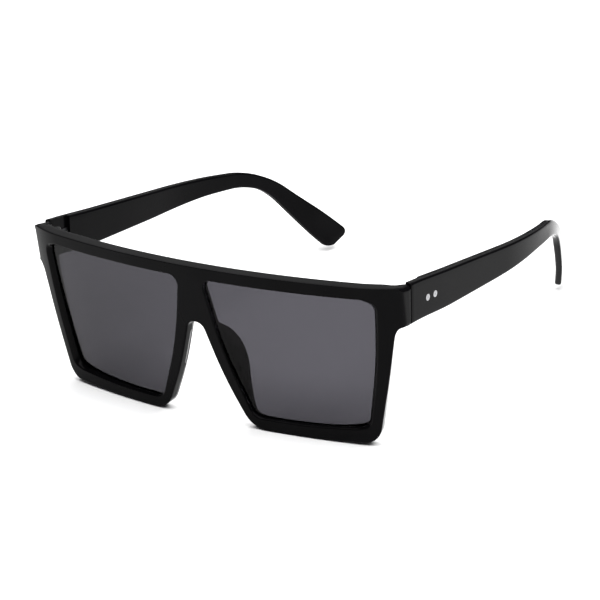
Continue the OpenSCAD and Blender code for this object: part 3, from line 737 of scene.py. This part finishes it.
for side, name in ((1, "left"), (-1, "right")):
    arm = mesh_object(f"{name}_arm_moulding", arm_points * np.array([side, 1, 1]), arm_faces, arm_black,
                      smooth_angle=50)
    close_up(arm, lambda co: True, gap=1e-7)
    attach(arm, f"{name}_arm")
    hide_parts(f"{name}_temple")

# Hinges, screws and rivets
# Five-barrel steel hinges sunk into the plastic, a slotted screw through each, and two domed rivets that hold
# each temple's tongue and show as bright dots on the outside.
broken_edge, edge_angle = 0.06 * MM, math.radians(40)


def metal(name, tone, rough_lo, rough_hi, grain):
    """Turned or stamped metal with faint wear and a fine brushed grain."""
    material, tree, shader = new_material(name)
    shader.inputs["Metallic"].default_value = 1.0
    place = node(tree, "ShaderNodeTexCoord", -1100, 0)
    wear = node(tree, "ShaderNodeTexNoise", -880, 160, Scale=grain, Detail=5.0, Roughness=0.6)
    ramp = two_tones(tree, -640, 160, [c * 0.72 for c in tone], tone)
    brush = node(tree, "ShaderNodeTexNoise", -880, -120, Scale=grain * 3, Detail=3.0)
    gloss = node(tree, "ShaderNodeMapRange", -640, -120, To_Min=rough_lo, To_Max=rough_hi)
    bump = node(tree, "ShaderNodeBump", -400, -320, Strength=0.08, Distance=0.00005)
    wire(tree, (place, "Object", wear, "Vector"), (place, "Object", brush, "Vector"),
         (wear, "Fac", ramp, "Fac"), (ramp, "Color", shader, "Base Color"),
         (brush, "Fac", gloss, "Value"), (gloss, "Result", shader, "Roughness"),
         (brush, "Fac", bump, "Height"), (bump, "Normal", shader, "Normal"))
    return material


finishes = {
    "_hinge": metal("dark_hinge_steel", (0.035, 0.035, 0.037), 0.34, 0.5, 900.0),
    "_screw": metal("screw_steel", (0.07, 0.07, 0.073), 0.3, 0.44, 1200.0),
    "_rivet": metal("polished_rivet", (0.36, 0.36, 0.37), 0.24, 0.36, 1500.0),
}
for name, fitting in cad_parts.items():
    for ending, finish in finishes.items():
        if name.endswith(ending):
            fitting.data.materials.clear()
            fitting.data.materials.append(finish)
            soften = fitting.modifiers.new("broken_edges", "BEVEL")
            soften.width, soften.segments = broken_edge, 2
            soften.limit_method, soften.angle_limit = "ANGLE", edge_angle

# Floor, light and camera
# A plain pale table lit by one large soft box overhead and a faint card behind, in a dim room, seen at the
# photograph's angle.
table_half, table_drop = 1.6, 0.02 * MM
pale, _, pale_shader = new_material("pale_table")
pale_shader.inputs["Base Color"].default_value = (0.93, 0.93, 0.93, 1)
pale_shader.inputs["Roughness"].default_value = 1.0
pale_shader.inputs["Specular IOR Level"].default_value = 0.0
table_mesh = bpy.data.meshes.new("table")
corners = [(table_half * x, table_half * y, 0) for x, y in ((-1, -1), (1, -1), (1, 1), (-1, 1))]
table_mesh.from_pydata(corners, [], [(0, 1, 2, 3)])
table_mesh.materials.append(pale)
table = bpy.data.objects.new("table", table_mesh)
table.location = (0, 0, -table_drop)
bpy.context.scene.collection.objects.link(table)


def soft_box(name, place, target, width, height, power):
    """A soft box at a place, turned toward its target."""
    data = bpy.data.lights.new(name, "AREA")
    data.shape, data.size, data.size_y, data.energy = "RECTANGLE", width, height, power
    lamp = bpy.data.objects.new(name, data)
    lamp.location = place
    lamp.rotation_euler = (Vector(target) - Vector(place)).to_track_quat("-Z", "Y").to_euler()
    bpy.context.scene.collection.objects.link(lamp)


soft_box("overhead_box", (0.25, 0.05, 1.15), (0.1, 0.02, 0.0), 1.9, 1.9, 53.0)
soft_box("back_card", (-0.7, 1.72, 0.78), (0.0, 0.0, 0.03), 1.7, 0.9, 3.4)
world = bpy.data.worlds.new("dim_room")
world.use_nodes = True
world.node_tree.nodes["Background"].inputs["Color"].default_value = (0.025, 0.025, 0.028, 1)
world.node_tree.nodes["Background"].inputs["Strength"].default_value = 1.0
bpy.context.scene.world = world
bpy.context.scene.view_settings.view_transform = "Standard"

# The camera's angles in radians, its distance and aim in millimetres, and its focal length in pixels of 600
azimuth, elevation, roll, distance = 0.6471, 0.3814, -0.0883, 793.7
aim = Vector((0, -36.097, 27.0)) * MM
focal_px, picture_px, sensor_w = 2441.2, 600, 36.0
back = Vector((math.sin(azimuth) * math.cos(elevation), -math.cos(azimuth) * math.cos(elevation),
               math.sin(elevation)))
right = Vector((math.cos(azimuth), math.sin(azimuth), 0))
up = back.cross(right)
right, up = right * math.cos(roll) + up * math.sin(roll), up * math.cos(roll) - right * math.sin(roll)
camera_data = bpy.data.cameras.new("camera")
camera_data.sensor_width = sensor_w
camera_data.lens = focal_px / picture_px * sensor_w
camera_data.shift_x, camera_data.shift_y = 0.0536, 0.0015
camera_data.clip_start, camera_data.clip_end = 0.05, 20.0
camera = bpy.data.objects.new("camera", camera_data)
bpy.context.scene.collection.objects.link(camera)
place = [a + b * distance * MM for a, b in zip(aim, back)]
camera.matrix_world = Matrix((
    (right.x, up.x, back.x, place[0]),
    (right.y, up.y, back.y, place[1]),
    (right.z, up.z, back.z, place[2]),
    (0, 0, 0, 1)))
bpy.context.scene.camera = camera
